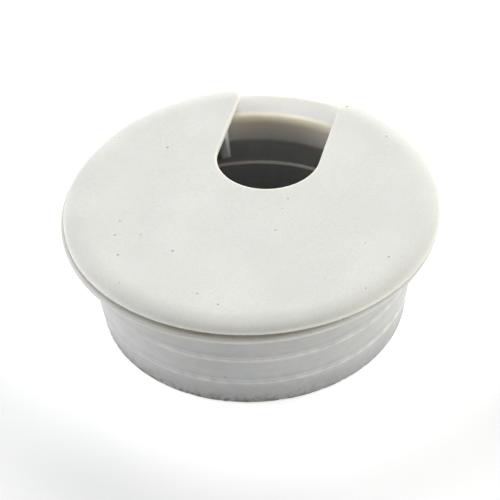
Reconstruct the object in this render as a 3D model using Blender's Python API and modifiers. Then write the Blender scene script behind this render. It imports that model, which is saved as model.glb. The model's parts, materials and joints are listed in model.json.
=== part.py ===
"""Two-piece cable grommet for a round hole in a desk top.

A flanged liner drops into the hole and a loose lid closes it. The lid has a
U-shaped notch for cables, open at its rim, and a short skirt that drops into
the liner's counterbore. Metres, +Z up. The origin is on the turning axis at
the level of the sleeve's lower rim, and the notch opens towards +Y.
"""

import math

import bmesh
import bpy
from mathutils import Vector

MM = 0.001

# Driving dimensions.
FLANGE_RADIUS = 35.0 * MM
LINER_HEIGHT = 21.7 * MM
FLANGE_THICKNESS = 1.0 * MM
SLEEVE_RADIUS_TOP = 31.4 * MM
SLEEVE_RADIUS_FOOT = 28.8 * MM
MOUTH_RADIUS = 27.7 * MM
NECK_RADIUS = 27.5 * MM
NECK_DEPTH = 5.75 * MM
GROOVE_RADIUS = 27.85 * MM
LEDGE_DEPTH = 11.05 * MM
BORE_RADIUS = 27.2 * MM
BORE_RADIUS_FOOT = 26.7 * MM
BARB_DEPTHS = (9.4 * MM, 15.7 * MM)
BARB_STEP = 0.2 * MM

LID_RADIUS = 34.8 * MM
LID_THICKNESS = 1.9 * MM
LID_GAP = 0.5 * MM
LID_REST_SHIFT = Vector((0.36 * MM, 0.1 * MM, 0.0))
NOTCH_HALF_WIDTH = 9.8 * MM
NOTCH_CENTRE_Y = 13.2 * MM
HORN_CORNER_RADIUS = 2.2 * MM
SKIRT_CLEARANCE = 0.7 * MM
SKIRT_THICKNESS = 1.3 * MM
SKIRT_DEPTH = 8.4 * MM
SKIRT_SETBACK = 1.45 * MM

# Rounded edges.
FLANGE_TOP_ROUND = 0.4 * MM
FLANGE_BOTTOM_ROUND = 0.3 * MM
FLANGE_ROOT_FILLET = 0.5 * MM
MOUTH_ROUND = 0.9 * MM
FOOT_CHAMFER = 0.4 * MM
LID_SHOULDER_WIDTH = 4.2 * MM
LID_SHOULDER_DROP = 1.3 * MM
LID_LIP_ROUND = 0.2 * MM
SKIRT_FOOT_ROUND = 0.3 * MM

TURN_STEPS = 96
ARC_STEPS = 5
NOTCH_STEPS = 32
CUTTER_MARGIN = 3.0 * MM
MERGE_DISTANCE = 0.00001

# Levels and radii that follow from them.
FLANGE_TOP = LINER_HEIGHT
FLANGE_UNDERSIDE = FLANGE_TOP - FLANGE_THICKNESS
NECK_LEVEL = FLANGE_TOP - NECK_DEPTH
LEDGE_LEVEL = FLANGE_TOP - LEDGE_DEPTH
LID_UNDERSIDE = FLANGE_TOP + LID_GAP
LID_TOP = LID_UNDERSIDE + LID_THICKNESS
SKIRT_RADIUS = NECK_RADIUS - SKIRT_CLEARANCE
SKIRT_FOOT = FLANGE_TOP - SKIRT_DEPTH


def clear_scene():
    for old in list(bpy.data.objects):
        bpy.data.objects.remove(old, do_unlink=True)


def new_collection(name):
    collection = bpy.data.collections.new(name)
    bpy.context.scene.collection.children.link(collection)
    return collection


def plastic(name, colour, roughness):
    material = bpy.data.materials.new(name)
    material.use_nodes = True
    shader = material.node_tree.nodes["Principled BSDF"]
    shader.inputs["Base Color"].default_value = (*colour, 1.0)
    shader.inputs["Roughness"].default_value = roughness
    shader.inputs["Metallic"].default_value = 0.0
    return material


def arc(centre, radius, start_deg, end_deg, steps=ARC_STEPS):
    """Points on a circular arc, both ends included."""
    points = []
    for i in range(steps + 1):
        angle = math.radians(start_deg + (end_deg - start_deg) * i / steps)
        across = centre[0] + radius * math.cos(angle)
        up = centre[1] + radius * math.sin(angle)
        points.append((across, up))
    return points


def turned(name, profile, closed, collection):
    """A solid of revolution about Z from (radius, height) points."""
    mesh = bpy.data.meshes.new(name)
    shape = bmesh.new()
    verts = [shape.verts.new((radius, 0.0, height)) for radius, height in profile]
    for lower, upper in zip(verts, verts[1:]):
        shape.edges.new((lower, upper))
    if closed:
        shape.edges.new((verts[-1], verts[0]))
    shape.to_mesh(mesh)
    shape.free()
    piece = bpy.data.objects.new(name, mesh)
    collection.objects.link(piece)
    screw = piece.modifiers.new("turn", "SCREW")
    screw.axis = "Z"
    screw.angle = 2.0 * math.pi
    screw.steps = TURN_STEPS
    screw.render_steps = TURN_STEPS
    screw.use_merge_vertices = True
    screw.merge_threshold = MERGE_DISTANCE
    screw.use_smooth_shade = True
    return piece


def outline_cutter(name, outline, bottom, top, collection):
    """A flat (x, y) outline made into an upright solid, for cutting only."""
    curve = bpy.data.curves.new(name, "CURVE")
    curve.dimensions = "2D"
    curve.fill_mode = "BOTH"
    curve.extrude = (top - bottom) / 2.0
    spline = curve.splines.new("POLY")
    spline.points.add(len(outline) - 1)
    for point, (x, y) in zip(spline.points, outline):
        point.co = (x, y, 0.0, 1.0)
    spline.use_cyclic_u = True
    source = bpy.data.objects.new(name + "_outline", curve)
    source.location.z = (bottom + top) / 2.0
    collection.objects.link(source)
    bpy.context.view_layer.update()

    evaluated = source.evaluated_get(bpy.context.evaluated_depsgraph_get())
    mesh = bpy.data.meshes.new_from_object(evaluated)
    shape = bmesh.new()
    shape.from_mesh(mesh)
    bmesh.ops.remove_doubles(shape, verts=shape.verts, dist=MERGE_DISTANCE)
    bmesh.ops.recalc_face_normals(shape, faces=shape.faces)
    shape.to_mesh(mesh)
    shape.free()
    cutter = bpy.data.objects.new(name, mesh)
    cutter.matrix_world = source.matrix_world
    cutter.hide_render = True
    cutter.display_type = "WIRE"
    collection.objects.link(cutter)
    bpy.data.objects.remove(source, do_unlink=True)
    return cutter


def cut(piece, cutter):
    boolean = piece.modifiers.new(cutter.name, "BOOLEAN")
    boolean.operation = "DIFFERENCE"
    boolean.solver = "EXACT"
    boolean.object = cutter


def sleeve_outside():
    """The barbed outer wall, from the flange's root down to the foot.

    The wall leans in towards the foot. At each barb it steps out again, so a
    small ledge faces up and grips the wall of the desk's hole.
    """
    root = FLANGE_UNDERSIDE - FLANGE_ROOT_FILLET
    lean = (SLEEVE_RADIUS_TOP - SLEEVE_RADIUS_FOOT) / FLANGE_UNDERSIDE
    points = [(SLEEVE_RADIUS_TOP, root)]
    for depth in BARB_DEPTHS:
        level = FLANGE_TOP - depth
        crest = SLEEVE_RADIUS_TOP - lean * (FLANGE_UNDERSIDE - level)
        points.append((crest - BARB_STEP, level))
        points.append((crest, level - BARB_STEP / 2.0))
    points.append((SLEEVE_RADIUS_FOOT, FOOT_CHAMFER))
    points.append((SLEEVE_RADIUS_FOOT - FOOT_CHAMFER, 0.0))
    return points


def bore_inside():
    """The bore's wall, from the foot up to the rounded mouth.

    A narrow ledge divides the bore from the counterbore. The counterbore has a
    shallow groove above the ledge and widens from its neck up to the mouth.
    """
    groove_top = NECK_LEVEL - (GROOVE_RADIUS - NECK_RADIUS)
    mouth = (MOUTH_RADIUS + MOUTH_ROUND, FLANGE_TOP - MOUTH_ROUND)
    points = [
        (BORE_RADIUS_FOOT, 0.0),
        (BORE_RADIUS, LEDGE_LEVEL),
        (GROOVE_RADIUS, LEDGE_LEVEL),
        (GROOVE_RADIUS, groove_top),
        (NECK_RADIUS, NECK_LEVEL),
    ]
    return points + arc(mouth, MOUTH_ROUND, 180.0, 90.0)


def build_liner(collection):
    """Flange, tapered barbed sleeve and stepped bore, as one moulding."""
    rim_top = (FLANGE_RADIUS - FLANGE_TOP_ROUND, FLANGE_TOP - FLANGE_TOP_ROUND)
    rim_bottom = (
        FLANGE_RADIUS - FLANGE_BOTTOM_ROUND,
        FLANGE_UNDERSIDE + FLANGE_BOTTOM_ROUND,
    )
    root_fillet = (
        SLEEVE_RADIUS_TOP + FLANGE_ROOT_FILLET,
        FLANGE_UNDERSIDE - FLANGE_ROOT_FILLET,
    )
    profile = arc(rim_top, FLANGE_TOP_ROUND, 90.0, 0.0)
    profile += arc(rim_bottom, FLANGE_BOTTOM_ROUND, 0.0, -90.0)
    profile += arc(root_fillet, FLANGE_ROOT_FILLET, 90.0, 180.0)[:-1]
    profile += sleeve_outside()
    profile += bore_inside()
    return turned("liner", profile, True, collection)


def notch_outline():
    """Plan of the cable notch, flaring where the lid's two horns are rounded."""
    rim = LID_RADIUS
    corner_x = NOTCH_HALF_WIDTH + HORN_CORNER_RADIUS
    corner_y = math.sqrt((rim - HORN_CORNER_RADIUS) ** 2 - corner_x ** 2)
    leave_deg = math.degrees(math.atan2(corner_y, corner_x))
    right_horn = arc((corner_x, corner_y), HORN_CORNER_RADIUS, 180.0, leave_deg)
    outside = Vector((corner_x, corner_y)).normalized() * (rim + CUTTER_MARGIN)
    right_side = right_horn + [tuple(outside)]
    left_side = [(-x, y) for x, y in reversed(right_side)]
    round_end = arc(
        (0.0, NOTCH_CENTRE_Y), NOTCH_HALF_WIDTH, 180.0, 360.0, NOTCH_STEPS
    )
    beyond = (0.0, rim + 2.0 * CUTTER_MARGIN)
    return round_end + right_side + [beyond] + left_side


def skirt_gap_outline():
    """Plan of the gap in the skirt, a little wider than the notch."""
    half = NOTCH_HALF_WIDTH + SKIRT_SETBACK
    far = LID_RADIUS + CUTTER_MARGIN
    return [(-half, 0.0), (half, 0.0), (half, far), (-half, far)]


def build_lid(collection, cutters):
    """Round cover plate with a U notch and an interrupted skirt below it.

    The skirt has play in the counterbore, so the lid lies a little off centre.
    """
    lip = (LID_RADIUS - LID_LIP_ROUND, LID_UNDERSIDE + LID_LIP_ROUND)
    skirt_inside = SKIRT_RADIUS - SKIRT_THICKNESS
    outer_foot = (SKIRT_RADIUS - SKIRT_FOOT_ROUND, SKIRT_FOOT + SKIRT_FOOT_ROUND)
    inner_foot = (skirt_inside + SKIRT_FOOT_ROUND, SKIRT_FOOT + SKIRT_FOOT_ROUND)

    profile = [(0.0, LID_TOP)]
    for across, up in arc((0.0, 0.0), 1.0, 90.0, 0.0, 2 * ARC_STEPS):
        radius = LID_RADIUS - LID_SHOULDER_WIDTH * (1.0 - across)
        profile.append((radius, LID_TOP - LID_SHOULDER_DROP * (1.0 - up)))
    profile += arc(lip, LID_LIP_ROUND, 0.0, -90.0, 2)
    profile.append((SKIRT_RADIUS, LID_UNDERSIDE))
    profile += arc(outer_foot, SKIRT_FOOT_ROUND, 0.0, -90.0, 2)
    profile += arc(inner_foot, SKIRT_FOOT_ROUND, -90.0, -180.0, 2)
    profile.append((skirt_inside, LID_UNDERSIDE))
    profile.append((0.0, LID_UNDERSIDE))
    lid = turned("lid", profile, False, collection)

    notch = outline_cutter(
        "notch_cutter",
        notch_outline(),
        SKIRT_FOOT - CUTTER_MARGIN,
        LID_TOP + CUTTER_MARGIN,
        cutters,
    )
    skirt_gap = outline_cutter(
        "skirt_gap_cutter",
        skirt_gap_outline(),
        SKIRT_FOOT - CUTTER_MARGIN,
        LID_UNDERSIDE,
        cutters,
    )
    cut(lid, notch)
    cut(lid, skirt_gap)
    for piece in (lid, notch, skirt_gap):
        piece.location += LID_REST_SHIFT
    return lid


def main():
    clear_scene()
    parts = new_collection("desk_grommet")
    cutters = new_collection("cutters")
    liner = build_liner(parts)
    liner.data.materials.append(plastic("liner_plastic", (0.62, 0.62, 0.6), 0.5))
    lid = build_lid(parts, cutters)
    lid.data.materials.append(plastic("lid_plastic", (0.76, 0.77, 0.73), 0.55))


main()
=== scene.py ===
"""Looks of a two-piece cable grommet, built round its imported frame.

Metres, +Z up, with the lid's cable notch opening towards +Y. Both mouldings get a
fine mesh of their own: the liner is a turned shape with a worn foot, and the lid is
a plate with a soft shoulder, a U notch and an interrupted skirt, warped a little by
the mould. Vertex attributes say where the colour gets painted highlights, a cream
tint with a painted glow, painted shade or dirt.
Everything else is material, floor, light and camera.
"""

import json
import math

import bmesh
import bpy
import numpy as np
from mathutils import Matrix, Vector, noise
from mathutils.geometry import delaunay_2d_cdt


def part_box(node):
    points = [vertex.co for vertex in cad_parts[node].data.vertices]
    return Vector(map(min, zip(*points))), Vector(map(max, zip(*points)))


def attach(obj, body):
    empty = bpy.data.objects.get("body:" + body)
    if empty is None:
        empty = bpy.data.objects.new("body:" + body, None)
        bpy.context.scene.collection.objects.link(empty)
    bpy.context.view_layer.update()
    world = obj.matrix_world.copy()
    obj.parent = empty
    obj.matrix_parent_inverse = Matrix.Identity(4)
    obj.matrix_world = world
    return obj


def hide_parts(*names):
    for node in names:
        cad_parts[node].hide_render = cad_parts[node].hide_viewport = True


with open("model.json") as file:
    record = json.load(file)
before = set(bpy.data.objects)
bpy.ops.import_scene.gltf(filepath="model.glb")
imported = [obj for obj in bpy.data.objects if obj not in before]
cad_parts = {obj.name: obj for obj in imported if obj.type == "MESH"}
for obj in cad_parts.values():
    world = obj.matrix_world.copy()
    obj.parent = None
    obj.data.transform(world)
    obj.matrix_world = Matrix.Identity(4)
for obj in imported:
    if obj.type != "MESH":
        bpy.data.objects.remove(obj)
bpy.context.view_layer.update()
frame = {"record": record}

MM = 0.001

# Sizes that the frame gives.
_, LINER_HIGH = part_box("liner")
LID_LOW, LID_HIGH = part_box("lid")
SEAT = next(m for m in frame["record"]["mounts"] if m["name"] == "flange_seat")

FLANGE_RADIUS = LINER_HIGH.x
FLANGE_TOP = LINER_HIGH.z
FLANGE_UNDERSIDE = SEAT["pos_m"][2]
LID_RADIUS = (LID_HIGH.x - LID_LOW.x) / 2.0
LID_CENTRE = Vector(((LID_HIGH.x + LID_LOW.x) / 2.0, LID_LOW.y + LID_RADIUS))
LID_TOP = LID_HIGH.z
SKIRT_FOOT = LID_LOW.z

# Liner: sleeve and bore, close to the CAD.
SLEEVE_RADIUS_TOP = 31.4 * MM
SLEEVE_RADIUS_FOOT = 28.8 * MM
MOUTH_RADIUS = 27.5 * MM
NECK_RADIUS = 27.5 * MM
NECK_DEPTH = 5.75 * MM
NECK_BLEND = 0.9 * MM
GROOVE_RADIUS = 27.85 * MM
LEDGE_DEPTH = 11.05 * MM
BORE_RADIUS = 27.2 * MM
BORE_RADIUS_FOOT = 26.7 * MM
BARB_DEPTHS = (9.4 * MM, 15.7 * MM)
BARB_STEP = 0.08 * MM
BARB_SHOULDER_IN = 0.04 * MM
BARB_SHOULDER_UP = 0.02 * MM
BARB_NOSE_DOWN = 0.03 * MM
# Inset and drop of the points that soften the bore's edge at the ledge.
LEDGE_LIP = ((0.05 * MM, 0.3 * MM), (0.03 * MM, 0.08 * MM))
GROOVE_ROUND = 0.1 * MM
GROOVE_STRAIGHT = 0.3 * MM
# Steps through the soft change from groove to neck, and the rings in the neck above it.
NECK_STEPS = (-1.0, -0.6, -0.2, 0.2, 0.6, 1.0)
NECK_RING_DEPTHS = (3.0 * MM, 2.2 * MM, 1.5 * MM)
FLANGE_TOP_ROUND = 0.45 * MM
FLANGE_BOTTOM_ROUND = 0.15 * MM
FLANGE_ROOT_FILLET = 0.5 * MM
MOUTH_ROUND = 1.1 * MM
MOUTH_FLAT_RADIUS = MOUTH_RADIUS + MOUTH_ROUND
CREAM_RADIUS = MOUTH_RADIUS + 2.0 * MOUTH_ROUND
FOOT_ROUND = 0.35 * MM
FOOT_WEAR_HEIGHT = 1.4 * MM
FOOT_WEAR_DEPTH = 0.28 * MM
FOOT_WEAR_RISE = 0.8
BORE_SIDE_WEAR = 0.3
# Noise scale, middle and spread of the worn stretches and of the nicks in them.
WORN_STRETCHES = (9.0, 0.22, 0.8)
NICKS = (38.0, 0.25, 1.6)

# Liner: painted highlights on the barb lines and ledge, painted light on the bore above the
# neck, a cream mouth with a painted glow, painted shade on the walls and a dirty foot.
# Strengths are shares, widths and heights are metres, and grains are noise scales per metre.
SLEEVE_SKIN = 0.6 * MM
BARB_LINE = 0.42
BARB_LINE_SPREAD = 0.4
BARB_LINE_LEFT = 0.15
BARB_LINE_WIDTH = 0.14 * MM
BARB_LINE_GRAIN = 600.0
BARB_FADE_LEFT = -24.0 * MM
BARB_SHADE = 0.22
BARB_SHADE_HEIGHT = 1.8 * MM
BARB_SHADE_FULL = 0.2 * MM
BARB_SHADE_START = 0.05 * MM
LEDGE_LINE = 0.85
LEDGE_LINE_WIDTH = 0.1 * MM
LEDGE_CLEAR = 0.12 * MM
NECK_PAINTED_LIGHT = 0.65
NECK_SKIN = 0.1 * MM
CREAM = 0.9
CREAM_SPREAD = 0.5
CREAM_REACH = 2.0 * MM
CREAM_FADE = 2.5 * MM
CREAM_GRAIN = 170.0
# Painted shade: the sleeve, more so at its foot, under the flange and over the barbs, the flange's
# side and the bore below the neck are darkened.
SLEEVE_PAINTED_SHADE = 0.55
FOOT_PAINTED_SHADE = 0.35
FOOT_PAINTED_SHADE_HEIGHT = 9.0 * MM
ROOT_PAINTED_SHADE = 0.3
ROOT_PAINTED_SHADE_HEIGHT = 2.5 * MM
ROOT_CLEAR = 0.4 * MM
BORE_PAINTED_SHADE = 0.65
FLANGE_SIDE_PAINTED_SHADE = 0.25
FLANGE_SIDE_SKIN = 0.25 * MM
DIRT_LEAST = 0.25
DIRT_MORE = 1.15
DIRT_FADE = 1.4 * MM
DIRT_TOP = 6.0 * MM
SOILED_SIDE = math.radians(250.0)

# Lid: plate, notch and skirt, close to the CAD.
LID_THICKNESS = 1.9 * MM
SHOULDER_WIDTH = 4.2 * MM
SHOULDER_DROP = 1.3 * MM
NOTCH_HALF_WIDTH = 9.8 * MM
NOTCH_CENTRE_Y = 13.2 * MM
NOTCH_EDGE_ROUND = 0.32 * MM
NOTCH_THINNING = 0.8 * MM
NOTCH_CHAMFER = 1.2 * MM
HORN_RADIUS = 3.1 * MM
LIP_ROUND = 0.15 * MM
LID_WARP = 0.44 * MM
LID_SAG = 0.09 * MM
LID_SAG_DIRECTION = math.radians(205.0)
SKIRT_RADIUS = 26.8 * MM
SKIRT_THICKNESS = 1.3 * MM
SKIRT_GAP_HALF = 11.48 * MM
SKIRT_END_LEAN = 0.22 * MM
SKIRT_END_SLOPE = 0.55 * MM
SKIRT_DRAFT = 0.35 * MM
SKIRT_ROUND = 0.25 * MM
LID_UNDERSIDE = LID_TOP - LID_THICKNESS
# Pull of the skirt's walls towards its middle, and height, ring by ring going down.
SKIRT_RINGS = (
    (0.3 * SKIRT_DRAFT, LID_UNDERSIDE - 3.0 * MM),
    (0.7 * SKIRT_DRAFT, LID_UNDERSIDE - 6.5 * MM),
    (SKIRT_DRAFT, SKIRT_FOOT + SKIRT_ROUND),
    (SKIRT_DRAFT + 0.3 * SKIRT_ROUND, SKIRT_FOOT + 0.3 * SKIRT_ROUND),
    (SKIRT_DRAFT + SKIRT_ROUND, SKIRT_FOOT),
)
# Round dents under the lid: their directions, distance from the middle and size.
MARK_TURNS_DEG = (200.0, 270.0, 340.0)
MARK_REACH = 17.0 * MM
MARK_RADIUS = 2.0 * MM
MARK_DRAFT = 0.1 * MM
MARK_DEPTH = 0.12 * MM

# Lid: strengths of its cream edges with a painted highlight, the painted highlight at the
# notch's bottom, the painted shade on the skirt and the dirty front lip.
EDGE_LINE_WIDTH = 0.35 * MM
EDGE_CREAM = 0.8
EDGE_CREAM_RIGHT = 0.3
NOTCH_BOTTOM_PAINTED_LIGHT = 0.7
SKIRT_PAINTED_SHADE = 0.4
LIP_DIRT = 0.9
# Where each of them starts and where it is full: heights, distances from the middle,
# or places along x or y.
PLATE_LEVELS = (LID_UNDERSIDE - 0.1 * MM, LID_UNDERSIDE)
EDGE_LEVELS = (LID_TOP - 1.2 * MM, LID_TOP - 0.4 * MM)
NOTCH_SIDE_REACHES = (LID_RADIUS - 1.0 * MM, LID_RADIUS - 3.0 * MM)
NOTCH_BOTTOM_PLACES = (NOTCH_CENTRE_Y + 1.0 * MM, NOTCH_CENTRE_Y - 4.0 * MM)
NOTCH_BOTTOM_REACH = 0.7 * LID_RADIUS
SKIRT_END_PLACES = (SKIRT_GAP_HALF + 0.5 * MM, SKIRT_GAP_HALF + 0.1 * MM)
SKIRT_INSIDE_REACHES = (
    SKIRT_RADIUS - 0.3 * SKIRT_THICKNESS,
    SKIRT_RADIUS - 0.8 * SKIRT_THICKNESS,
)
SKIRT_SKIN = 0.1 * MM
LIP_LEVELS = (LID_UNDERSIDE, LID_UNDERSIDE + 0.3 * MM)
LIP_REACHES = (LID_RADIUS - 1.8 * MM, LID_RADIUS - 0.5 * MM)
LIP_PLACES = (-20.0 * MM, -32.0 * MM)

# Mesh fineness.
TURN_SEGMENTS = 480
PROFILE_STEP = 0.9 * MM
ARC_STEPS = 7
CIRCLE_POINTS = 32
RIM_STEP = 0.6 * MM
NOTCH_STEP = 0.35 * MM
SIDE_STEP = 1.4 * NOTCH_STEP
HORN_STEP = 0.15 * MM
TOP_GRID = 1.0 * MM
UNDER_GRID = 2.0 * MM
GRID_CLEARANCE = 0.45
SHARP_ANGLE = math.radians(38.0)
EDGE_BAND = 1.6 * MM
EDGE_RINGS = 12
WALL_SHARES = (0.35, 0.7, 1.0)
LIP_TURNS_DEG = (30.0, 60.0, 90.0)
SKIRT_ARC_STEPS = 180

# Camera.
CAMERA_DISTANCE = 0.400
CAMERA_AZIMUTH = math.radians(16.55)
CAMERA_ELEVATION = math.radians(41.32)
CAMERA_ROLL = math.radians(3.21)
CAMERA_LENS_MM = 155.7
CAMERA_SENSOR_MM = 36.0
CAMERA_CLIP_START = 0.01
AIM_RIGHT = 0.08 * MM
AIM_DOWN = 7.53 * MM

# Colours that both plastics share.
COOL_STAIN = (0.60, 0.68, 0.78, 1.0)
WARM_STAIN = (0.80, 0.66, 0.58, 1.0)
FINE_GRAIN = (0.42, 0.42, 0.42, 1.0)
DRAWN_LINE = (0.35, 0.35, 0.35, 1.0)
SPECK = (0.16, 0.16, 0.15, 1.0)
# Colour of the painted highlights and painted light.
PAINTED_LIGHT = (0.92, 0.92, 0.90, 1.0)

# Noise scales of the plastics, per metre: 100 makes patches of about 10 mm.
PATCH_SCALE = 70.0
WARM_STAIN_SCALE = 80.0
WARM_STAIN_SHIFT = (0.31, 0.17, 0.05)
COOL_STAIN_SCALE = 95.0
SHADE_VARIATION_SCALE = 380.0
SPECK_SCALE = 420.0
DIRT_SCALE = 900.0
PIT_SCALE = 1500.0
FINE_GRAIN_SCALE = 2600.0
DRAWN_LINE_SCALES = (40.0, 40.0, 2600.0)
RELIEF_HEIGHT = 0.06 * MM

# Radius of the specks as a share of their cell, and how strongly each thing shows.
SPECK_SIZES = (0.04, 0.11)
SPECK_STRENGTH = 0.55
FINE_GRAIN_STRENGTH = 0.16
CREAM_STRENGTH = 0.8
DIRT_STRENGTH = 0.9
DIRT_ROUGHNESS = 0.25
DRAWN_LINE_RELIEF = 4.0

# Floor and light.
FLOOR_RADIUS = 3.0
FLOOR_DROP = 0.02 * MM
# Under the grommet the table is darker, a painted shadow, and near it the glow is stronger,
# painted light that cancels its shadow.
COVERED_RADIUS = 28.2 * MM
OPEN_RADIUS = 28.8 * MM
PAD_RADIUS = 29.0 * MM
PAD_FADE_RADIUS = 60.0 * MM
COVERED_PAINTED_SHADOW = (0.3, 0.3, 0.3, 1.0)
TABLE_SHADE = (0.82, 0.82, 0.82, 1.0)
ROOM_LIGHT = 0.32
TABLE_GLOW = 0.23
PAD_GLOW = 0.4
# Name, place in metres, size in metres, watts and colour of each softbox.
SOFTBOXES = (
    ("softbox_back", (0.0, 1.0, 0.7), (0.9, 0.5), 6.0, (1.0, 0.99, 0.97)),
    ("softbox_back_low", (0.0, 1.1, 0.25), (0.9, 0.4), 5.5, (1.0, 1.0, 1.0)),
    ("softbox_back_right", (0.75, 0.75, 0.6), (0.6, 0.5), 3.3, (1.0, 0.98, 0.94)),
    ("softbox_right", (1.0, 0.1, 0.24), (0.6, 0.6), 4.8, (1.0, 0.98, 0.93)),
    ("softbox_left", (-1.0, 0.0, 0.4), (0.6, 0.6), 7.8, (0.96, 0.98, 1.0)),
)


# ---------------------------------------------------------------- mesh helpers


def arc(centre, radius, start_deg, end_deg, steps=ARC_STEPS):
    """Points on a circular arc, both ends included."""
    angles = np.radians(np.linspace(start_deg, end_deg, steps + 1))
    across = centre[0] + radius * np.cos(angles)
    up = centre[1] + radius * np.sin(angles)
    return list(zip(across, up))


def resampled(points, step):
    """The closed polyline with its long stretches cut into shorter ones."""
    result = []
    for start, end in zip(points, points[1:] + points[:1]):
        span = math.dist(start, end)
        pieces = max(1, math.ceil(span / step))
        for i in range(pieces):
            share = i / pieces
            result.append(tuple(a + (b - a) * share for a, b in zip(start, end)))
    return result


def smoothstep(low, high, value):
    """0 at low and 1 at high, with a soft start and end between them."""
    share = np.clip((value - low) / (high - low), 0.0, 1.0)
    return share * share * (3.0 - 2.0 * share)


def peak(value, centre, width):
    """A smooth peak that is 1 at the centre."""
    return np.exp(-(((value - centre) / width) ** 2))


def noise_at(points, scale):
    """Noise from -1 to 1 at each point."""
    return np.array([noise.noise(Vector(point) * scale) for point in points])


def inside(points, loop):
    """Which of the points lie inside a closed loop, by counting crossings."""
    x, y = points[:, 0], points[:, 1]
    odd = np.zeros(len(points), bool)
    for (x0, y0), (x1, y1) in zip(loop, np.roll(loop, -1, axis=0)):
        if y0 == y1:
            continue
        crosses = (y0 > y) != (y1 > y)
        odd ^= crosses & (x < x0 + (x1 - x0) * (y - y0) / (y1 - y0))
    return odd


class Shell:
    """Vertices and faces of one mesh, built ring by ring."""

    def __init__(self):
        self.verts = []
        self.faces = []

    def ring(self, points, heights):
        """Vertices at the points' places, at one height or a height each."""
        first = len(self.verts)
        heights = np.broadcast_to(heights, len(points))
        self.verts += [(x, y, z) for (x, y), z in zip(points, heights)]
        return list(range(first, len(self.verts)))

    def strip(self, ring_a, ring_b):
        """Quads between two closed rings of the same length."""
        count = len(ring_a)
        for i in range(count):
            j = (i + 1) % count
            self.faces.append((ring_a[i], ring_a[j], ring_b[j], ring_b[i]))

    def fill(self, outer, holes, grid, height):
        """Triangles inside a ring and outside the holes, with an even grid of points."""
        rings = [outer, *holes]
        used = [index for ring in rings for index in ring]
        plan = np.array([self.verts[i][:2] for i in used])
        edges = []
        start = 0
        for ring in rings:
            count = len(ring)
            edges += [(start + i, start + (i + 1) % count) for i in range(count)]
            start += count

        loops = [np.array([self.verts[i][:2] for i in ring]) for ring in rings]
        extra = hex_grid(plan.min(axis=0), plan.max(axis=0), grid)
        keep = inside(extra, loops[0])
        for loop in loops[1:]:
            keep &= ~inside(extra, loop)
        extra = extra[keep]
        nearest = np.array([np.abs(plan - p).max(axis=1).min() for p in extra])
        extra = extra[nearest > GRID_CLEARANCE * grid]

        # The output type 1 keeps only the triangles within the outermost edges.
        everything = [Vector(p) for p in np.vstack([plan, extra])]
        made, _, triangles, origins, _, _ = delaunay_2d_cdt(everything, edges, [], 1, 1e-9)
        index = {}
        for new, sources in enumerate(origins):
            source = sources[0]
            if source < len(used):
                index[new] = used[source]
            else:
                x, y = made[new]
                index[new] = len(self.verts)
                self.verts.append((x, y, height(x, y)))
        centres = [sum((made[i] for i in t), Vector((0, 0))) / 3.0 for t in triangles]
        middles = np.array(centres)
        wanted = inside(middles, loops[0])
        for loop in loops[1:]:
            wanted &= ~inside(middles, loop)
        self.faces += [tuple(index[i] for i in t) for t, w in zip(triangles, wanted) if w]

    def to_object(self, name):
        """An object of the shell, smooth but for its sharp edges."""
        mesh = bpy.data.meshes.new(name)
        mesh.from_pydata(self.verts, [], self.faces)
        shape = bmesh.new()
        shape.from_mesh(mesh)
        bmesh.ops.recalc_face_normals(shape, faces=shape.faces)
        shape.to_mesh(mesh)
        shape.free()
        mesh.shade_smooth()
        mesh.set_sharp_from_angle(angle=SHARP_ANGLE)
        piece = bpy.data.objects.new(name, mesh)
        bpy.context.scene.collection.objects.link(piece)
        return piece


def hex_grid(low, high, step):
    """Points of a triangular lattice that covers a rectangle."""
    rows = []
    row_step = step * math.sqrt(0.75)
    for k, y in enumerate(np.arange(low[1], high[1], row_step)):
        x = np.arange(low[0] + (k % 2) * step / 2.0, high[0], step)
        rows.append(np.stack([x, np.full_like(x, y)], axis=1))
    return np.vstack(rows)


def store(piece, name, values):
    """A number for each vertex, which a material reads by name."""
    layer = piece.data.attributes.new(name, "FLOAT", "POINT")
    layer.data.foreach_set("value", np.asarray(values, np.float32))


def coordinates(piece):
    """Where the piece's vertices are, one row each."""
    flat = np.zeros(len(piece.data.vertices) * 3, np.float32)
    piece.data.vertices.foreach_get("co", flat)
    return flat.reshape(-1, 3).astype(float)


# ----------------------------------------------------------------------- liner


def sleeve_radius(level):
    """Outer radius of the tapering sleeve at a height."""
    lean = (SLEEVE_RADIUS_TOP - SLEEVE_RADIUS_FOOT) / FLANGE_UNDERSIDE
    return SLEEVE_RADIUS_TOP - lean * (FLANGE_UNDERSIDE - level)


def barb_crests():
    """(radius, height) of the sharp upper edge of each barb."""
    levels = [FLANGE_TOP - depth - BARB_STEP / 2.0 for depth in BARB_DEPTHS]
    return [(sleeve_radius(level), level) for level in levels]


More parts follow.
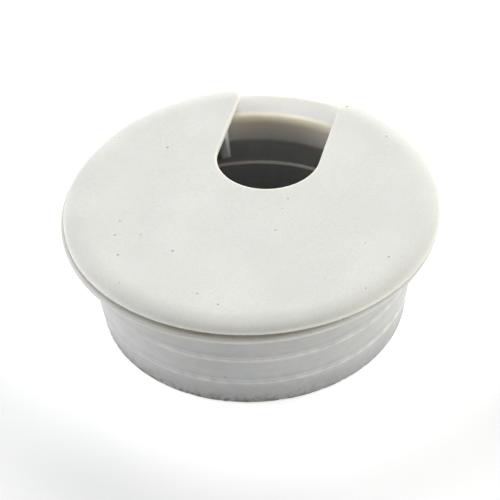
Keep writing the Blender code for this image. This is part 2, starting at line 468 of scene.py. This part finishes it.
def liner_profile():
    """(radius, height) points of the section, from the flange's top outwards and down."""
    top = (FLANGE_RADIUS - FLANGE_TOP_ROUND, FLANGE_TOP - FLANGE_TOP_ROUND)
    bottom = (FLANGE_RADIUS - FLANGE_BOTTOM_ROUND, FLANGE_UNDERSIDE + FLANGE_BOTTOM_ROUND)
    root = (SLEEVE_RADIUS_TOP + FLANGE_ROOT_FILLET, FLANGE_UNDERSIDE - FLANGE_ROOT_FILLET)
    outer_foot = (SLEEVE_RADIUS_FOOT - FOOT_ROUND, FOOT_ROUND)
    inner_foot = (BORE_RADIUS_FOOT + FOOT_ROUND, FOOT_ROUND)
    mouth = (MOUTH_FLAT_RADIUS, FLANGE_TOP - MOUTH_ROUND)
    ledge = FLANGE_TOP - LEDGE_DEPTH
    neck = FLANGE_TOP - NECK_DEPTH

    profile = arc(top, FLANGE_TOP_ROUND, 90.0, 0.0)
    profile += arc(bottom, FLANGE_BOTTOM_ROUND, 0.0, -90.0, 3)
    profile += arc(root, FLANGE_ROOT_FILLET, 90.0, 180.0, 4)
    for radius, level in barb_crests():
        profile.append((radius - BARB_STEP, level + BARB_STEP / 2.0))
        profile.append((radius - BARB_SHOULDER_IN, level + BARB_SHOULDER_UP))
        profile.append((radius, level - BARB_NOSE_DOWN))
    profile += arc(outer_foot, FOOT_ROUND, 0.0, -90.0, 4)
    profile += arc(inner_foot, FOOT_ROUND, -90.0, -180.0, 4)
    profile += [(BORE_RADIUS - inset, ledge - drop) for inset, drop in LEDGE_LIP]
    profile.append((BORE_RADIUS, ledge))
    profile.append((GROOVE_RADIUS - GROOVE_ROUND, ledge))
    profile.append((GROOVE_RADIUS, ledge + GROOVE_ROUND))
    profile.append((GROOVE_RADIUS, ledge + GROOVE_STRAIGHT))
    for share in NECK_STEPS:
        across = GROOVE_RADIUS + (NECK_RADIUS - GROOVE_RADIUS) * smoothstep(-1.0, 1.0, share)
        profile.append((across, neck + share * NECK_BLEND))
    profile += [(MOUTH_RADIUS, FLANGE_TOP - depth) for depth in NECK_RING_DEPTHS]
    profile += arc(mouth, MOUTH_ROUND, 180.0, 90.0)
    profile.append(((MOUTH_FLAT_RADIUS + CREAM_RADIUS) / 2.0, FLANGE_TOP))
    profile.append((CREAM_RADIUS, FLANGE_TOP))
    return profile


def foot_nick(angle):
    """How deeply the lower rim is worn at an angle: 0 for unworn."""
    nick = 1.0
    for height, (scale, middle, spread) in ((0.0, WORN_STRETCHES), (3.0, NICKS)):
        spot = Vector((math.cos(angle), math.sin(angle), height))
        nick *= max(0.0, middle + spread * noise.noise(spot * scale))
    return nick


def build_liner():
    """The section turned about the axis, with the lower rim worn unevenly."""
    profile = np.array(resampled(liner_profile(), PROFILE_STEP))
    angles = np.linspace(0.0, 2.0 * math.pi, TURN_SEGMENTS, endpoint=False)
    nicks = np.array([foot_nick(a) for a in angles])
    wall_middle = (SLEEVE_RADIUS_FOOT + BORE_RADIUS_FOOT) / 2.0
    shell = Shell()
    rings = []
    for radius, level in profile:
        wear = FOOT_WEAR_DEPTH * nicks * (1.0 - smoothstep(0.0, FOOT_WEAR_HEIGHT, level))
        side = 1.0 if radius > wall_middle else BORE_SIDE_WEAR
        reach = radius - side * wear
        plan = np.stack([reach * np.cos(angles), reach * np.sin(angles)], axis=1)
        rings.append(shell.ring(plan, level + FOOT_WEAR_RISE * side * wear))
    for lower, upper in zip(rings, rings[1:] + rings[:1]):
        shell.strip(lower, upper)
    liner = shell.to_object("liner_moulding")
    paint_liner(liner)
    return liner


def paint_liner(liner):
    """Where the liner gets painted highlights, a cream tint with a painted glow, painted shade or
    dirt, as numbers for its material.
    """
    place = coordinates(liner)
    radius = np.hypot(place[:, 0], place[:, 1])
    level = place[:, 2]
    depth = FLANGE_TOP - level
    outside = radius > sleeve_radius(level) - SLEEVE_SKIN

    # Painted highlights on the barb crests and the ledge, and painted light on the bore above the
    # neck.
    lines = barb_highlights(place, radius, level)
    ledge = LEDGE_LINE * peak(depth, LEDGE_DEPTH, LEDGE_LINE_WIDTH) * (radius < GROOVE_RADIUS)
    in_neck = radius < MOUTH_RADIUS + NECK_SKIN
    neck = NECK_PAINTED_LIGHT * (1.0 - below_neck(depth)) * in_neck
    store(liner, "painted_light", np.maximum.reduce([lines, ledge, neck]))
    # A cream tint at the mouth, partly the plastic's own and partly a painted glow.
    store(liner, "edge", mouth_cream_glow(place, radius, depth))
    # Painted shade on the sleeve, the flange's side and the bore below the neck.
    store(liner, "painted_shade", np.where(outside, sleeve_painted_shade(radius, level), bore_painted_shade(depth)))
    store(liner, "dirt", foot_dirt(place, level) * outside)


def barb_highlights(place, radius, level):
    """Painted highlights on the barbs' crests, broken up by noise and fading out on the left."""
    flat = place * (1.0, 1.0, 0.0)
    glint = BARB_LINE + BARB_LINE_SPREAD * noise_at(flat, BARB_LINE_GRAIN)
    rightward = smoothstep(BARB_FADE_LEFT, 0.0, place[:, 0])
    glint *= BARB_LINE_LEFT + (1.0 - BARB_LINE_LEFT) * rightward
    lines = np.zeros(len(place))
    for edge_radius, edge_level in barb_crests():
        gap = np.hypot(radius - edge_radius, level - edge_level)
        lines = np.maximum(lines, glint * peak(gap, 0.0, BARB_LINE_WIDTH))
    return lines


def below_neck(depth):
    """How far a depth in the bore is past the soft step below the neck, from 0 to 1."""
    return smoothstep(NECK_DEPTH - NECK_BLEND, NECK_DEPTH + NECK_BLEND, depth)


def mouth_cream_glow(place, radius, depth):
    """Cream tint on the mouth's rounding, partly the plastic's own and partly a painted glow,
    fading outwards and down the neck.
    """
    past_flat = np.maximum(MOUTH_FLAT_RADIUS - radius, 0.0) + depth
    cream = np.exp(-np.maximum(past_flat - CREAM_REACH, 0.0) / CREAM_FADE)
    cream *= smoothstep(CREAM_RADIUS, MOUTH_FLAT_RADIUS, radius)
    cream *= CREAM + CREAM_SPREAD * noise_at(place, CREAM_GRAIN)
    return cream


def sleeve_painted_shade(radius, level):
    """Painted shade on the sleeve: all over, more at the foot, under the flange and over each
    barb, and on the flange's side.
    """
    below_flange = FLANGE_UNDERSIDE - level
    painted_shade = SLEEVE_PAINTED_SHADE + FOOT_PAINTED_SHADE * (1.0 - smoothstep(0.0, FOOT_PAINTED_SHADE_HEIGHT, level))
    painted_shade += ROOT_PAINTED_SHADE * (1.0 - smoothstep(0.0, ROOT_PAINTED_SHADE_HEIGHT, below_flange))
    for _, edge_level in barb_crests():
        over = level - edge_level
        shade = smoothstep(BARB_SHADE_HEIGHT, BARB_SHADE_FULL, over)
        painted_shade += BARB_SHADE * shade * (over > BARB_SHADE_START)
    painted_shade *= smoothstep(0.0, ROOT_CLEAR, below_flange)
    on_flange_side = radius > FLANGE_RADIUS - FLANGE_SIDE_SKIN
    return np.maximum(painted_shade, FLANGE_SIDE_PAINTED_SHADE * on_flange_side)


def bore_painted_shade(depth):
    """Painted shade in the bore below the neck, but not on the ledge."""
    off_ledge = 1.0 - peak(depth, LEDGE_DEPTH, LEDGE_CLEAR)
    return BORE_PAINTED_SHADE * below_neck(depth) * off_ledge


def foot_dirt(place, level):
    """Dirt that has crept up from the foot, thickest on one side."""
    soiled_way = (math.cos(SOILED_SIDE), math.sin(SOILED_SIDE))
    towards = place[:, :2] @ soiled_way
    dirt = DIRT_LEAST + DIRT_MORE * smoothstep(0.0, SLEEVE_RADIUS_FOOT, towards)
    return dirt * np.exp(-level / DIRT_FADE) * (level < DIRT_TOP)


# ------------------------------------------------------------------------- lid


def lid_outline():
    """Plan of the lid, anticlockwise: points, inward normals, share of notch edge."""
    corner_x = NOTCH_HALF_WIDTH + HORN_RADIUS
    corner_y = math.sqrt((LID_RADIUS - HORN_RADIUS) ** 2 - corner_x**2)
    horn = math.atan2(corner_y, corner_x)
    straight = corner_y - NOTCH_CENTRE_Y
    points = []
    normals = []
    shares = []

    def add_arc(centre, radius, start, end, step, inward, share_start, share_end):
        """An arc without its last point, with normals towards or away from its centre."""
        count = max(2, math.ceil(abs(end - start) * radius / step))
        for i in range(count):
            along = i / count
            angle = start + (end - start) * along
            direction = np.array([math.cos(angle), math.sin(angle)])
            points.append(np.array(centre) + radius * direction)
            normals.append(-direction if inward else direction)
            shares.append(share_start + (share_end - share_start) * smoothstep(0.0, 1.0, along))

    def add_side(x, start, end, normal_x):
        """A straight side of the notch without its last point."""
        count = max(2, math.ceil(straight / SIDE_STEP))
        for i in range(count):
            points.append(np.array([x, start + (end - start) * i / count]))
            normals.append(np.array([normal_x, 0.0]))
            shares.append(1.0)

    turn = 2.0 * math.pi
    add_arc((0.0, 0.0), LID_RADIUS, math.pi - horn, turn + horn, RIM_STEP, True, 0.0, 0.0)
    add_arc((corner_x, corner_y), HORN_RADIUS, horn, math.pi, HORN_STEP, True, 0.0, 1.0)
    add_side(NOTCH_HALF_WIDTH, corner_y, NOTCH_CENTRE_Y, 1.0)
    add_arc((0.0, NOTCH_CENTRE_Y), NOTCH_HALF_WIDTH, 0.0, -math.pi, NOTCH_STEP, False, 1.0, 1.0)
    add_side(-NOTCH_HALF_WIDTH, NOTCH_CENTRE_Y, corner_y, -1.0)
    add_arc((-corner_x, corner_y), HORN_RADIUS, 0.0, math.pi - horn, HORN_STEP, True, 1.0, 0.0)
    return np.array(points), np.array(normals), np.array(shares)


def shoulder_drop(x, y):
    """How far the top has come down at a point of the plate, towards the rim."""
    reach = np.hypot(x, y)
    share = np.clip((reach - LID_RADIUS + SHOULDER_WIDTH) / SHOULDER_WIDTH, 0.0, 1.0)
    return SHOULDER_DROP * (1.0 - np.sqrt(1.0 - share * share))


def lid_warp(x, y):
    """How far the mould's warp has lifted a point of the lid."""
    saddle = (y * y - x * x) / LID_RADIUS**2
    along = (x * math.cos(LID_SAG_DIRECTION) + y * math.sin(LID_SAG_DIRECTION)) / LID_RADIUS
    return LID_WARP * saddle - LID_SAG * np.maximum(along, 0.0) ** 4


def edge_drop(offset, share):
    """How far a rounded notch edge has come down, a distance in from the edge."""
    short = np.clip(NOTCH_EDGE_ROUND - offset, 0.0, NOTCH_EDGE_ROUND)
    return share * (NOTCH_EDGE_ROUND - np.sqrt(NOTCH_EDGE_ROUND**2 - short**2))


def skirt_loop(inset, level):
    """Plan of the skirt at a level: a ring, open at the notch, pulled in by the inset."""
    slope = SKIRT_END_SLOPE * (LID_UNDERSIDE - level) / (LID_UNDERSIDE - SKIRT_FOOT)
    outer = SKIRT_RADIUS - inset
    inner = SKIRT_RADIUS - SKIRT_THICKNESS + inset
    stretches = []
    for radius, lean, forward in ((outer, SKIRT_END_LEAN, True), (inner, 0.0, False)):
        half = SKIRT_GAP_HALF - lean - slope
        start = math.acos(half / radius)
        angles = np.linspace(math.pi - start, 2.0 * math.pi + start, SKIRT_ARC_STEPS + 1)
        angles = angles if forward else angles[::-1]
        stretches.append(radius * np.stack([np.cos(angles), np.sin(angles)], axis=1))
    return np.vstack(stretches)


def circle(centre, radius):
    """Points round a circle."""
    angles = np.linspace(0.0, 2.0 * math.pi, CIRCLE_POINTS, endpoint=False)
    return np.array(centre) + radius * np.stack([np.cos(angles), np.sin(angles)], axis=1)


def build_lid():
    """The plate, its skirt and the ejector marks, warped and set in place."""
    points, normals, shares = lid_outline()
    shell = Shell()
    edge = add_lid_top(shell, points, normals, shares)
    flat = add_lid_wall(shell, edge, points, normals, shares)
    attached = add_skirt(shell)
    marks = [add_ejector_mark(shell, math.radians(turn)) for turn in MARK_TURNS_DEG]
    shell.fill(flat, [attached, *marks], UNDER_GRID, lambda x, y: LID_UNDERSIDE)

    # The mould's warp lifts the front and the two horns and lowers the sides.
    warped = np.array(shell.verts)
    warped[:, 2] += lid_warp(warped[:, 0], warped[:, 1])
    warped[:, :2] += LID_CENTRE
    shell.verts = [tuple(v) for v in warped]
    lid = shell.to_object("lid_moulding")
    paint_lid(lid, points)
    return lid


def add_lid_top(shell, points, normals, shares):
    """The top, from the edge inwards in ever wider rings, then an even fill."""
    rings = []
    for offset in EDGE_BAND * (np.arange(EDGE_RINGS + 1) / EDGE_RINGS) ** 2:
        plan = points + offset * normals
        drop = shoulder_drop(plan[:, 0], plan[:, 1]) + edge_drop(offset, shares)
        rings.append(shell.ring(plan, LID_TOP - drop))
    for outer, inner in zip(rings, rings[1:]):
        shell.strip(outer, inner)
    shell.fill(rings[-1], [], TOP_GRID, lambda x, y: LID_TOP - shoulder_drop(x, y))
    return rings[0]


def add_lid_wall(shell, edge, points, normals, shares):
    """The edge wall and the lip below it. The plate is thinner along the notch."""
    lip_level = LID_UNDERSIDE + LIP_ROUND + NOTCH_THINNING * shares
    top_levels = np.array([shell.verts[i][2] for i in edge])
    above = edge
    for share in WALL_SHARES:
        wall = shell.ring(points, top_levels + (lip_level - top_levels) * share)
        shell.strip(above, wall)
        above = wall
    for turn in np.radians(LIP_TURNS_DEG):
        offset = LIP_ROUND * (1.0 - math.cos(turn))
        level = lip_level - LIP_ROUND * math.sin(turn)
        lip = shell.ring(points + offset * normals, level)
        shell.strip(above, lip)
        above = lip
    reach = (LIP_ROUND + NOTCH_CHAMFER * shares)[:, None]
    flat = shell.ring(points + reach * normals, LID_UNDERSIDE)
    shell.strip(above, flat)
    return flat


def add_skirt(shell):
    """The skirt, with rounded and slightly drafted walls, and its ring on the plate."""
    attached = shell.ring(skirt_loop(0.0, LID_UNDERSIDE), LID_UNDERSIDE)
    upper = attached
    for inset, level in SKIRT_RINGS:
        lower = shell.ring(skirt_loop(inset, level), level)
        shell.strip(upper, lower)
        upper = lower
    shell.fill(upper, [], UNDER_GRID, lambda x, y: SKIRT_FOOT)
    return attached


def add_ejector_mark(shell, turn):
    """A shallow round dent that the mould's ejector pin left, and its rim's ring."""
    centre = (MARK_REACH * math.cos(turn), MARK_REACH * math.sin(turn))
    bottom = LID_UNDERSIDE + MARK_DEPTH
    rim = shell.ring(circle(centre, MARK_RADIUS), LID_UNDERSIDE)
    sunk = shell.ring(circle(centre, MARK_RADIUS - MARK_DRAFT), bottom)
    shell.strip(rim, sunk)
    shell.fill(sunk, [], UNDER_GRID, lambda x, y: bottom)
    return rim


def paint_lid(lid, points):
    """Where the lid gets painted highlights, a cream tint with a painted highlight, painted shade
    or dirt, as numbers for its material.
    """
    place = coordinates(lid)
    plan = place[:, :2] - np.array(LID_CENTRE)
    across, along = plan.T
    reach = np.hypot(across, along)
    level = place[:, 2] - lid_warp(across, along)
    on_plate = smoothstep(*PLATE_LEVELS, level)

    # The thin upper edge: a cream tint with a painted highlight, strongest on the notch's left,
    # and a painted highlight at its bottom.
    to_edge = np.array([np.hypot(*(points - p).T).min() for p in plan])
    line = peak(to_edge, 0.0, EDGE_LINE_WIDTH) * smoothstep(*EDGE_LEVELS, level)
    left = smoothstep(*NOTCH_SIDE_REACHES, reach) * (across < 0.0)
    bottom = smoothstep(*NOTCH_BOTTOM_PLACES, along) * (reach < NOTCH_BOTTOM_REACH)
    cream = line * (EDGE_CREAM_RIGHT + (1.0 - EDGE_CREAM_RIGHT) * left)

    # The skirt: painted shade, darkest inside, but painted highlights at its two ends.
    in_skirt = reach > SKIRT_RADIUS - SKIRT_THICKNESS - SKIRT_SKIN
    skirt_end = smoothstep(*SKIRT_END_PLACES, np.abs(across))
    skirt_end *= (1.0 - on_plate) * (along > 0.0) * in_skirt
    inner = smoothstep(*SKIRT_INSIDE_REACHES, reach)
    painted_shade = (SKIRT_PAINTED_SHADE + inner) * (1.0 - on_plate) * (1.0 - skirt_end)

    # Dirt on the lip at the front.
    dirt = 1.0 - smoothstep(*LIP_LEVELS, level)
    dirt *= smoothstep(*LIP_REACHES, reach)
    dirt *= smoothstep(*LIP_PLACES, along)

    store(lid, "painted_light", np.maximum(skirt_end, NOTCH_BOTTOM_PAINTED_LIGHT * line * bottom))
    store(lid, "edge", EDGE_CREAM * cream)
    store(lid, "painted_shade", painted_shade)
    store(lid, "dirt", LIP_DIRT * dirt)


# ------------------------------------------------------------------- materials


def add_node(tree, kind, inputs=None, **settings):
    """A new node, with its settings, and its inputs set or linked by name or number."""
    node = tree.nodes.new(kind)
    for name, value in settings.items():
        setattr(node, name, value)
    for name, value in (inputs or {}).items():
        if isinstance(value, bpy.types.NodeSocket):
            tree.links.new(value, node.inputs[name])
        else:
            node.inputs[name].default_value = value
    return node


def compute(tree, operation, first, second):
    """The result of one operation on two values."""
    inputs = {0: first, 1: second}
    return add_node(tree, "ShaderNodeMath", inputs, operation=operation).outputs[0]


def between(tree, value, low, high, out_low=0.0, out_high=1.0):
    """The value's place between low and high, smoothly mapped to a new range."""
    inputs = {0: value, 1: low, 2: high, 3: out_low, 4: out_high}
    node = add_node(tree, "ShaderNodeMapRange", inputs, interpolation_type="SMOOTHSTEP")
    return node.outputs[0]


def blend(tree, factor, first, second):
    """A colour between the first, at factor 0, and the second, at factor 1."""
    node = add_node(tree, "ShaderNodeMix", data_type="RGBA")
    for number, value in ((0, factor), (6, first), (7, second)):
        if isinstance(value, bpy.types.NodeSocket):
            tree.links.new(value, node.inputs[number])
        else:
            node.inputs[number].default_value = value
    return node.outputs[2]


def grain(tree, place, scale, detail, roughness=0.5):
    """Noise from 0 to 1 at a scale, with finer octaves and their share."""
    inputs = {"Vector": place, "Scale": scale, "Detail": detail, "Roughness": roughness}
    return add_node(tree, "ShaderNodeTexNoise", inputs).outputs["Fac"]


def attribute(tree, name):
    """A number that was stored on the vertices."""
    return add_node(tree, "ShaderNodeAttribute", attribute_name=name).outputs["Fac"]


def stained(tree, place, body):
    """The plastic with two kinds of faint stain, cool and warm."""
    cool_noise = grain(tree, place, COOL_STAIN_SCALE, detail=1.0)
    cool = between(tree, cool_noise, 0.68, 0.8, out_high=0.22)
    shifted = {0: place, 1: WARM_STAIN_SHIFT}
    warm_place = add_node(tree, "ShaderNodeVectorMath", shifted).outputs[0]
    warm_noise = grain(tree, warm_place, WARM_STAIN_SCALE, detail=1.0)
    warm = between(tree, warm_noise, 0.66, 0.8, out_high=0.25)
    body = blend(tree, cool, body, COOL_STAIN)
    return blend(tree, warm, body, WARM_STAIN)


def specked(tree, place, body, share):
    """The plastic with small dark balls scattered through it, seen where they are cut."""
    cells = add_node(tree, "ShaderNodeTexVoronoi", {"Vector": place, "Scale": SPECK_SCALE})
    chosen = add_node(tree, "ShaderNodeSeparateColor", {0: cells.outputs["Color"]})
    is_speck = compute(tree, "GREATER_THAN", chosen.outputs[0], 1.0 - share)
    size = between(tree, chosen.outputs[1], 0.0, 1.0, *SPECK_SIZES)
    near = compute(tree, "LESS_THAN", cells.outputs["Distance"], size)
    speck = compute(tree, "MULTIPLY", is_speck, near)
    return blend(tree, compute(tree, "MULTIPLY", speck, SPECK_STRENGTH), body, SPECK)


def moulded_plastic(
    name, colour, painted_shade_colour, cream_glow_colour, dirt_colour, roughness, lines, specks, bump, glow_depth
):
    """Moulded plastic: grain, faint stains, dark specks, painted highlights and shade, cream edges
    with a painted glow, and dirt.

    lines is the strength of the drawn lines, specks the share of cells with a speck,
    bump the strength of the relief and glow_depth how far light goes in, in metres.
    """
    material = bpy.data.materials.new(name)
    material.use_nodes = True
    tree = material.node_tree
    shader = tree.nodes["Principled BSDF"]
    place = add_node(tree, "ShaderNodeTexCoord").outputs["Object"]

    # Soft patches and fine grain in the colour, then stains.
    patches = grain(tree, place, PATCH_SCALE, detail=3.0)
    fine_noise = grain(tree, place, FINE_GRAIN_SCALE, detail=2.0, roughness=0.6)
    fine = between(tree, fine_noise, 0.62, 0.25, out_high=FINE_GRAIN_STRENGTH)
    darker = tuple(c * 0.955 for c in colour[:3]) + (1.0,)
    lighter = tuple(min(1.0, c * 1.03) for c in colour[:3]) + (1.0,)
    body = blend(tree, between(tree, patches, 0.3, 0.7), darker, lighter)
    body = blend(tree, fine, body, FINE_GRAIN)
    body = stained(tree, place, body)

    # Painted shade on the walls, varied a little by noise, with lines drawn round them by the
    # mould.
    shade_noise = grain(tree, place, SHADE_VARIATION_SCALE, detail=4.0, roughness=0.6)
    shade_variation = between(tree, shade_noise, 0.35, 0.65, out_low=0.92, out_high=1.06)
    painted_shade = compute(tree, "MULTIPLY", attribute(tree, "painted_shade"), shade_variation)
    body = blend(tree, painted_shade, body, painted_shade_colour)
    stretch = {"Vector": place, "Scale": DRAWN_LINE_SCALES}
    stretched = add_node(tree, "ShaderNodeMapping", stretch).outputs[0]
    drawn = grain(tree, stretched, scale=1.0, detail=3.0)
    drawn_dark = between(tree, drawn, 0.62, 0.3, out_high=lines)
    body = blend(tree, drawn_dark, body, DRAWN_LINE)
    body = specked(tree, place, body, specks)

    # Painted highlights, cream edges with a painted glow, and dirt broken up by noise.
    body = blend(tree, attribute(tree, "painted_light"), body, PAINTED_LIGHT)
    cream = compute(tree, "MULTIPLY", attribute(tree, "edge"), CREAM_STRENGTH)
    body = blend(tree, cream, body, cream_glow_colour)
    crumb_noise = grain(tree, place, DIRT_SCALE, detail=4.0, roughness=0.65)
    crumbs = between(tree, crumb_noise, 0.42, 0.6, out_low=0.45)
    soiled = compute(tree, "MULTIPLY", attribute(tree, "dirt"), crumbs)
    dirt = compute(tree, "MULTIPLY", soiled, DIRT_STRENGTH)
    body = blend(tree, dirt, body, dirt_colour)
    tree.links.new(body, shader.inputs["Base Color"])

    shine = between(tree, patches, 0.3, 0.7, roughness - 0.05, roughness + 0.05)
    rougher = compute(tree, "MULTIPLY", soiled, DIRT_ROUGHNESS)
    tree.links.new(compute(tree, "ADD", shine, rougher), shader.inputs["Roughness"])

    # Eggshell relief from the mould's surface.
    pits = grain(tree, place, PIT_SCALE, detail=3.0, roughness=0.6)
    ridges = compute(tree, "MULTIPLY", drawn, DRAWN_LINE_RELIEF * lines)
    relief = compute(tree, "ADD", pits, ridges)
    height = {"Height": relief, "Strength": bump, "Distance": RELIEF_HEIGHT}
    bumped = add_node(tree, "ShaderNodeBump", height)
    tree.links.new(bumped.outputs[0], shader.inputs["Normal"])

    shader.inputs["IOR"].default_value = 1.49
    shader.inputs["Specular IOR Level"].default_value = 0.35
    shader.inputs["Subsurface Weight"].default_value = 0.5
    shader.inputs["Subsurface Radius"].default_value = (1.0, 0.82, 0.5)
    shader.inputs["Subsurface Scale"].default_value = glow_depth
    return material


def liner_plastic():
    """Pale grey plastic, with a cream tint and a painted glow at its mouth, and painted shade on
    its walls.
    """
    return moulded_plastic(
        "liner_plastic",
        colour=(0.72, 0.725, 0.70, 1.0),
        painted_shade_colour=(0.325, 0.325, 0.327, 1.0),
        cream_glow_colour=(0.93, 0.85, 0.66, 1.0),
        dirt_colour=(0.10, 0.085, 0.06, 1.0),
        roughness=0.46,
        lines=0.17,
        specks=0.05,
        bump=0.12,
        glow_depth=1.7 * MM,
    )


def lid_plastic():
    """Slightly warmer and rougher plastic, with more specks."""
    return moulded_plastic(
        "lid_plastic",
        colour=(0.76, 0.765, 0.72, 1.0),
        painted_shade_colour=(0.28, 0.28, 0.27, 1.0),
        cream_glow_colour=(0.93, 0.91, 0.80, 1.0),
        dirt_colour=(0.22, 0.12, 0.07, 1.0),
        roughness=0.56,
        lines=0.0,
        specks=0.2,
        bump=0.22,
        glow_depth=1.2 * MM,
    )


# ------------------------------------------------------ floor, light and camera


def build_floor():
    """A whitish table that glows a little, above all near the grommet, where the extra glow is
    painted light that cancels its shadow, but not under it, where it is darker: a painted shadow.
    """
    shape = bmesh.new()
    bmesh.ops.create_circle(shape, cap_ends=True, radius=FLOOR_RADIUS, segments=96)
    mesh = bpy.data.meshes.new("floor")
    shape.to_mesh(mesh)
    shape.free()
    floor = bpy.data.objects.new("floor", mesh)
    floor.location.z = -FLOOR_DROP
    bpy.context.scene.collection.objects.link(floor)

    material = bpy.data.materials.new("pale_table")
    material.use_nodes = True
    tree = material.node_tree
    shader = tree.nodes["Principled BSDF"]
    place = add_node(tree, "ShaderNodeTexCoord").outputs["Object"]
    length = add_node(tree, "ShaderNodeVectorMath", {0: place}, operation="LENGTH")
    reach = length.outputs["Value"]
    uncovered = between(tree, reach, COVERED_RADIUS, OPEN_RADIUS)
    near_glow = TABLE_GLOW + PAD_GLOW
    near = between(tree, reach, PAD_FADE_RADIUS, PAD_RADIUS, TABLE_GLOW, near_glow)
    glow = compute(tree, "MULTIPLY", uncovered, near)
    shade = blend(tree, uncovered, COVERED_PAINTED_SHADOW, TABLE_SHADE)
    tree.links.new(shade, shader.inputs["Base Color"])
    shader.inputs["Roughness"].default_value = 0.9
    shader.inputs["Specular IOR Level"].default_value = 0.1
    shader.inputs["Emission Color"].default_value = (1.0, 1.0, 1.0, 1.0)
    tree.links.new(glow, shader.inputs["Emission Strength"])
    mesh.materials.append(material)


def build_world():
    """An evenly lit white room."""
    world = bpy.data.worlds.new("studio")
    bpy.context.scene.world = world
    world.use_nodes = True
    background = world.node_tree.nodes["Background"]
    background.inputs["Strength"].default_value = ROOM_LIGHT
    background.inputs["Color"].default_value = (0.98, 0.99, 1.0, 1.0)


def softbox(name, place, size, watts, colour):
    """A rectangular lamp aimed at the flange's middle."""
    lamp = bpy.data.lights.new(name, "AREA")
    lamp.shape = "RECTANGLE"
    lamp.size, lamp.size_y = size
    lamp.energy = watts
    lamp.color = colour
    light = bpy.data.objects.new(name, lamp)
    light.location = place
    aim = Vector((0.0, 0.0, FLANGE_TOP)) - light.location
    light.rotation_mode = "QUATERNION"
    light.rotation_quaternion = aim.to_track_quat("-Z", "Y")
    bpy.context.scene.collection.objects.link(light)


def build_camera():
    """A long lens above the front of the grommet."""
    right = Vector((math.cos(CAMERA_AZIMUTH), math.sin(CAMERA_AZIMUTH), 0.0))
    ahead = Vector((
        -math.sin(CAMERA_AZIMUTH) * math.cos(CAMERA_ELEVATION),
        math.cos(CAMERA_AZIMUTH) * math.cos(CAMERA_ELEVATION),
        -math.sin(CAMERA_ELEVATION),
    ))
    up = right.cross(ahead)
    roll = Matrix.Rotation(CAMERA_ROLL, 3, ahead)
    right = roll @ right
    up = roll @ up

    aim = Vector((0.0, 0.0, FLANGE_TOP)) + AIM_RIGHT * right - AIM_DOWN * up
    lens = bpy.data.cameras.new("camera")
    lens.sensor_width = CAMERA_SENSOR_MM
    lens.lens = CAMERA_LENS_MM
    lens.clip_start = CAMERA_CLIP_START
    camera = bpy.data.objects.new("camera", lens)
    axes = Matrix((right, up, -ahead)).transposed().to_4x4()
    axes.translation = aim - CAMERA_DISTANCE * ahead
    camera.matrix_world = axes
    bpy.context.scene.collection.objects.link(camera)
    bpy.context.scene.camera = camera


liner = build_liner()
liner.data.materials.append(liner_plastic())
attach(liner, "liner")
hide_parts("liner")

lid = build_lid()
lid.data.materials.append(lid_plastic())
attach(lid, "lid")
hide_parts("lid")

build_floor()
build_world()
for settings in SOFTBOXES:
    softbox(*settings)
build_camera()
bpy.context.scene.view_settings.view_transform = "Standard"
